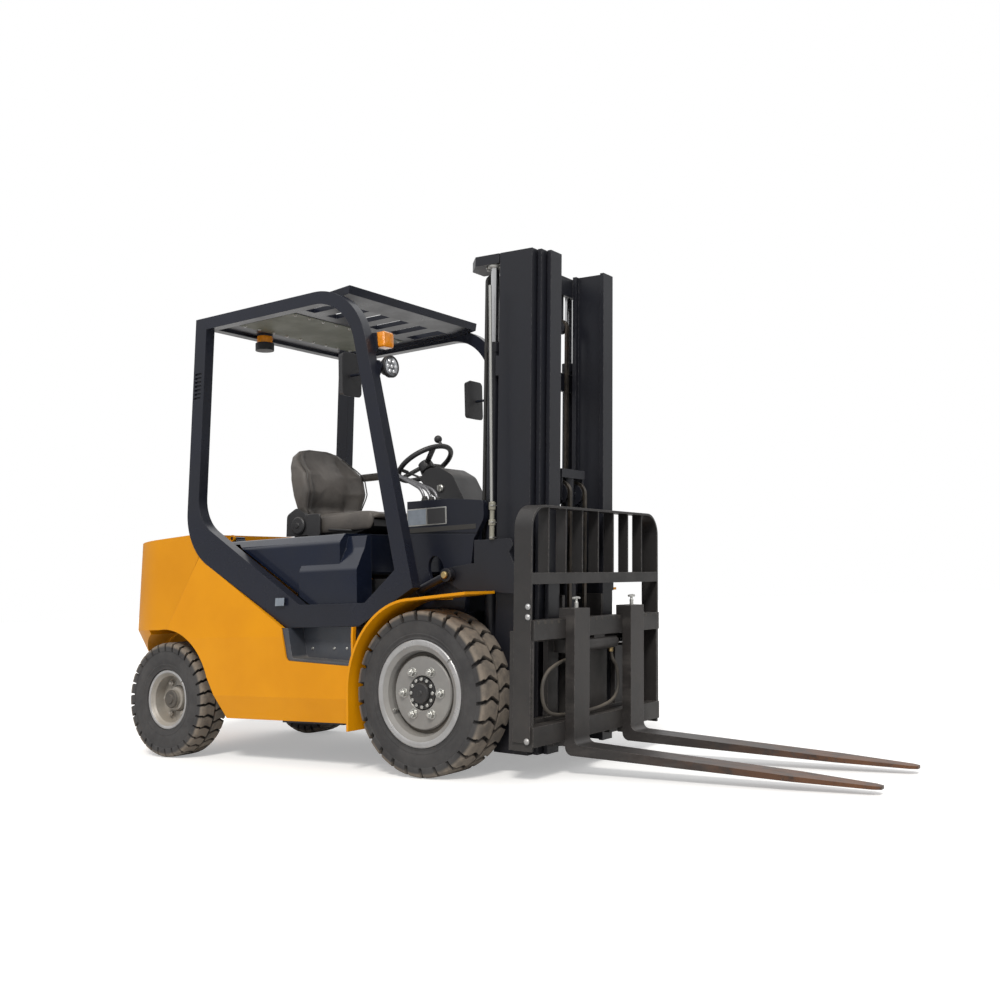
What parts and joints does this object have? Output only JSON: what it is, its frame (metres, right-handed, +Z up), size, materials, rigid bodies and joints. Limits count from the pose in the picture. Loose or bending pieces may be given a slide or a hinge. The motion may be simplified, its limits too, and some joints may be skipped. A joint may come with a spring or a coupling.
{
  "type": "counterbalance forklift truck",
  "caption": "Counterbalance fork-lift truck with overhead guard, three-stage mast, side shifter, load backrest and two forks",
  "frame": {"origin": "on the ground, at the middle of the truck's width and of its whole length", "axes": "+X forward to the fork tips, +Y to the driver's left, +Z up"},
  "size_m": [4.0666, 1.28, 2.317],
  "materials": {
    "yellow_paint": "glossy yellow-orange machine enamel, lightly dusty",
    "navy_paint": "satin black-navy enamel",
    "mast_paint": "satin dark grey enamel with scuffed edges",
    "fork_steel": "worn black forging with rust at the tip",
    "cast_paint": "cast iron painted yellow-orange",
    "axle_paint": "cast iron painted dark grey",
    "rim_paint": "silver grey wheel enamel, dusty",
    "tyre_rubber": "dusty black tyre rubber",
    "hood_paint": "glossy black-navy enamel",
    "seat_vinyl": "grey-brown moulded vinyl",
    "black_plastic": "grained black plastic",
    "rod_chrome": "polished hard chrome",
    "chain_steel": "oiled leaf chain",
    "lamp_glass": "clear and amber lamp mouldings",
    "tray_paint": "slate grey enamel, scuffed by boots",
    "hose_rubber": "black hydraulic hose cover",
    "engine_paint": "engine casting"
  },
  "bodies": {
    "chassis": {"chassis_frame": "navy_paint", "tilt_mounts": "navy_paint", "side_tanks": "navy_paint", "side_panels": "yellow_paint", "counterweight": "cast_paint", "guard_side_right": "navy_paint", "guard_side_left": "navy_paint", "guard_roof": "navy_paint", "cowl": "navy_paint", "front_fenders": "yellow_paint", "dash_cover": "black_plastic", "control_levers": "rod_chrome", "engine_block": "engine_paint", "front_axle": "axle_paint", "steer_axle": "axle_paint", "lamps": "lamp_glass", "mirrors": "black_plastic", "step_trays": "tray_paint", "tow_pin": "axle_paint", "pedals": "black_plastic", "lever_knobs": "black_plastic", "lamp_brackets": "navy_paint", "beacon": "lamp_glass"},
    "hood": {"hood": "hood_paint", "seat_base": "black_plastic", "seat_cushion": "seat_vinyl", "seat_back": "seat_vinyl", "armrest": "seat_vinyl"},
    "steering_wheel": {"steering_wheel": "black_plastic"},
    "wheel_front_right": {"tyre_front_right": "tyre_rubber", "rim_front_right": "rim_paint"},
    "wheel_front_left": {"tyre_front_left": "tyre_rubber", "rim_front_left": "rim_paint"},
    "knuckle_right": {"knuckle_right": "axle_paint"},
    "knuckle_left": {"knuckle_left": "axle_paint"},
    "wheel_rear_right": {"tyre_rear_right": "tyre_rubber", "rim_rear_right": "rim_paint"},
    "wheel_rear_left": {"tyre_rear_left": "tyre_rubber", "rim_rear_left": "rim_paint"},
    "mast_outer": {"mast_outer": "mast_paint", "mast_brackets": "mast_paint", "lift_barrels": "mast_paint", "mast_hoses": "hose_rubber"},
    "mast_middle": {"mast_middle": "mast_paint", "lift_rods": "rod_chrome", "main_lift_chains": "chain_steel"},
    "mast_inner": {"mast_inner": "mast_paint", "free_lift_barrel": "mast_paint"},
    "free_lift_head": {"free_lift_head": "mast_paint", "free_lift_chains": "chain_steel"},
    "carriage": {"carriage": "mast_paint", "shift_rod": "rod_chrome"},
    "side_shifter": {"side_shifter": "mast_paint", "load_backrest": "mast_paint", "shift_barrel": "mast_paint", "shift_hose": "hose_rubber"},
    "fork_right": {"fork_right": "fork_steel"},
    "fork_left": {"fork_left": "fork_steel"},
    "tilt_barrels": {"tilt_barrels": "mast_paint"},
    "tilt_rods": {"tilt_rods": "rod_chrome"}
  },
  "joints": [
    {"name": "hood_hinge", "type": "hinge", "parent": "chassis", "child": "hood", "pos_m": [-1.29333, 0, 1.104], "axis": [0, -1, 0], "range_deg": [0, 45]},
    {"name": "steering_turn", "type": "hinge", "parent": "chassis", "child": "steering_wheel", "pos_m": [-0.26533, 0, 1.435], "axis": [-0.5299, 0, 0.848], "continuous": true},
    {"name": "wheel_front_right_spin", "type": "hinge", "parent": "chassis", "child": "wheel_front_right", "pos_m": [0.16667, -0.5, 0.355], "axis": [0, 1, 0], "continuous": true},
    {"name": "steer_right", "type": "hinge", "parent": "chassis", "child": "knuckle_right", "pos_m": [-1.53333, -0.395, 0.288], "axis": [0, 0, 1], "range_deg": [-70, 70]},
    {"name": "wheel_rear_right_spin", "type": "hinge", "parent": "knuckle_right", "child": "wheel_rear_right", "pos_m": [-1.53333, -0.49, 0.288], "axis": [0, 1, 0], "continuous": true},
    {"name": "wheel_front_left_spin", "type": "hinge", "parent": "chassis", "child": "wheel_front_left", "pos_m": [0.16667, 0.5, 0.355], "axis": [0, 1, 0], "continuous": true},
    {"name": "steer_left", "type": "hinge", "parent": "chassis", "child": "knuckle_left", "pos_m": [-1.53333, 0.395, 0.288], "axis": [0, 0, 1], "range_deg": [-70, 70]},
    {"name": "wheel_rear_left_spin", "type": "hinge", "parent": "knuckle_left", "child": "wheel_rear_left", "pos_m": [-1.53333, 0.49, 0.288], "axis": [0, 1, 0], "continuous": true},
    {"name": "mast_tilt", "type": "hinge", "parent": "chassis", "child": "mast_outer", "pos_m": [0.16667, 0, 0.355], "axis": [0, 1, 0], "range_deg": [-8.8, 3.1]},
    {"name": "middle_lift", "type": "slide", "parent": "mast_outer", "child": "mast_middle", "axis": [0.0492, 0, 0.9988], "range_m": [0, 1.48], "deforming": ["main_lift_chains"]},
    {"name": "inner_lift", "type": "slide", "parent": "mast_middle", "child": "mast_inner", "axis": [0.0492, 0, 0.9988], "range_m": [0, 1.48]},
    {"name": "free_lift_rise", "type": "slide", "parent": "mast_inner", "child": "free_lift_head", "axis": [0.0492, 0, 0.9988], "range_m": [0, 0.7], "deforming": ["free_lift_chains"]},
    {"name": "carriage_lift", "type": "slide", "parent": "mast_inner", "child": "carriage", "axis": [0.0492, 0, 0.9988], "range_m": [0, 1.4]},
    {"name": "side_shift", "type": "slide", "parent": "carriage", "child": "side_shifter", "axis": [0, 1, 0], "range_m": [-0.1, 0.1]},
    {"name": "fork_right_slide", "type": "slide", "parent": "side_shifter", "child": "fork_right", "axis": [0, 1, 0], "range_m": [-0.22, 0.16]},
    {"name": "fork_left_slide", "type": "slide", "parent": "side_shifter", "child": "fork_left", "axis": [0, 1, 0], "range_m": [-0.16, 0.22]},
    {"name": "tilt_barrel_swing", "type": "hinge", "parent": "chassis", "child": "tilt_barrels", "pos_m": [-0.25633, 0, 0.679], "axis": [0, 1, 0], "range_deg": [-4, 1.5]},
    {"name": "tilt_rod_slide", "type": "slide", "parent": "tilt_barrels", "child": "tilt_rods", "axis": [0.934, 0, 0.3572], "range_m": [-0.072, 0.026]}
  ],
  "couplings": [
    {"joint": "steer_left", "follows": "steer_right", "ratio": 1},
    {"joint": "inner_lift", "follows": "middle_lift", "ratio": 1},
    {"joint": "free_lift_rise", "follows": "carriage_lift", "ratio": 0.5},
    {"joint": "tilt_barrel_swing", "follows": "mast_tilt", "ratio": 0.435},
    {"joint": "tilt_rod_slide", "follows": "mast_tilt", "m_per_rad": 0.457}
  ]
}
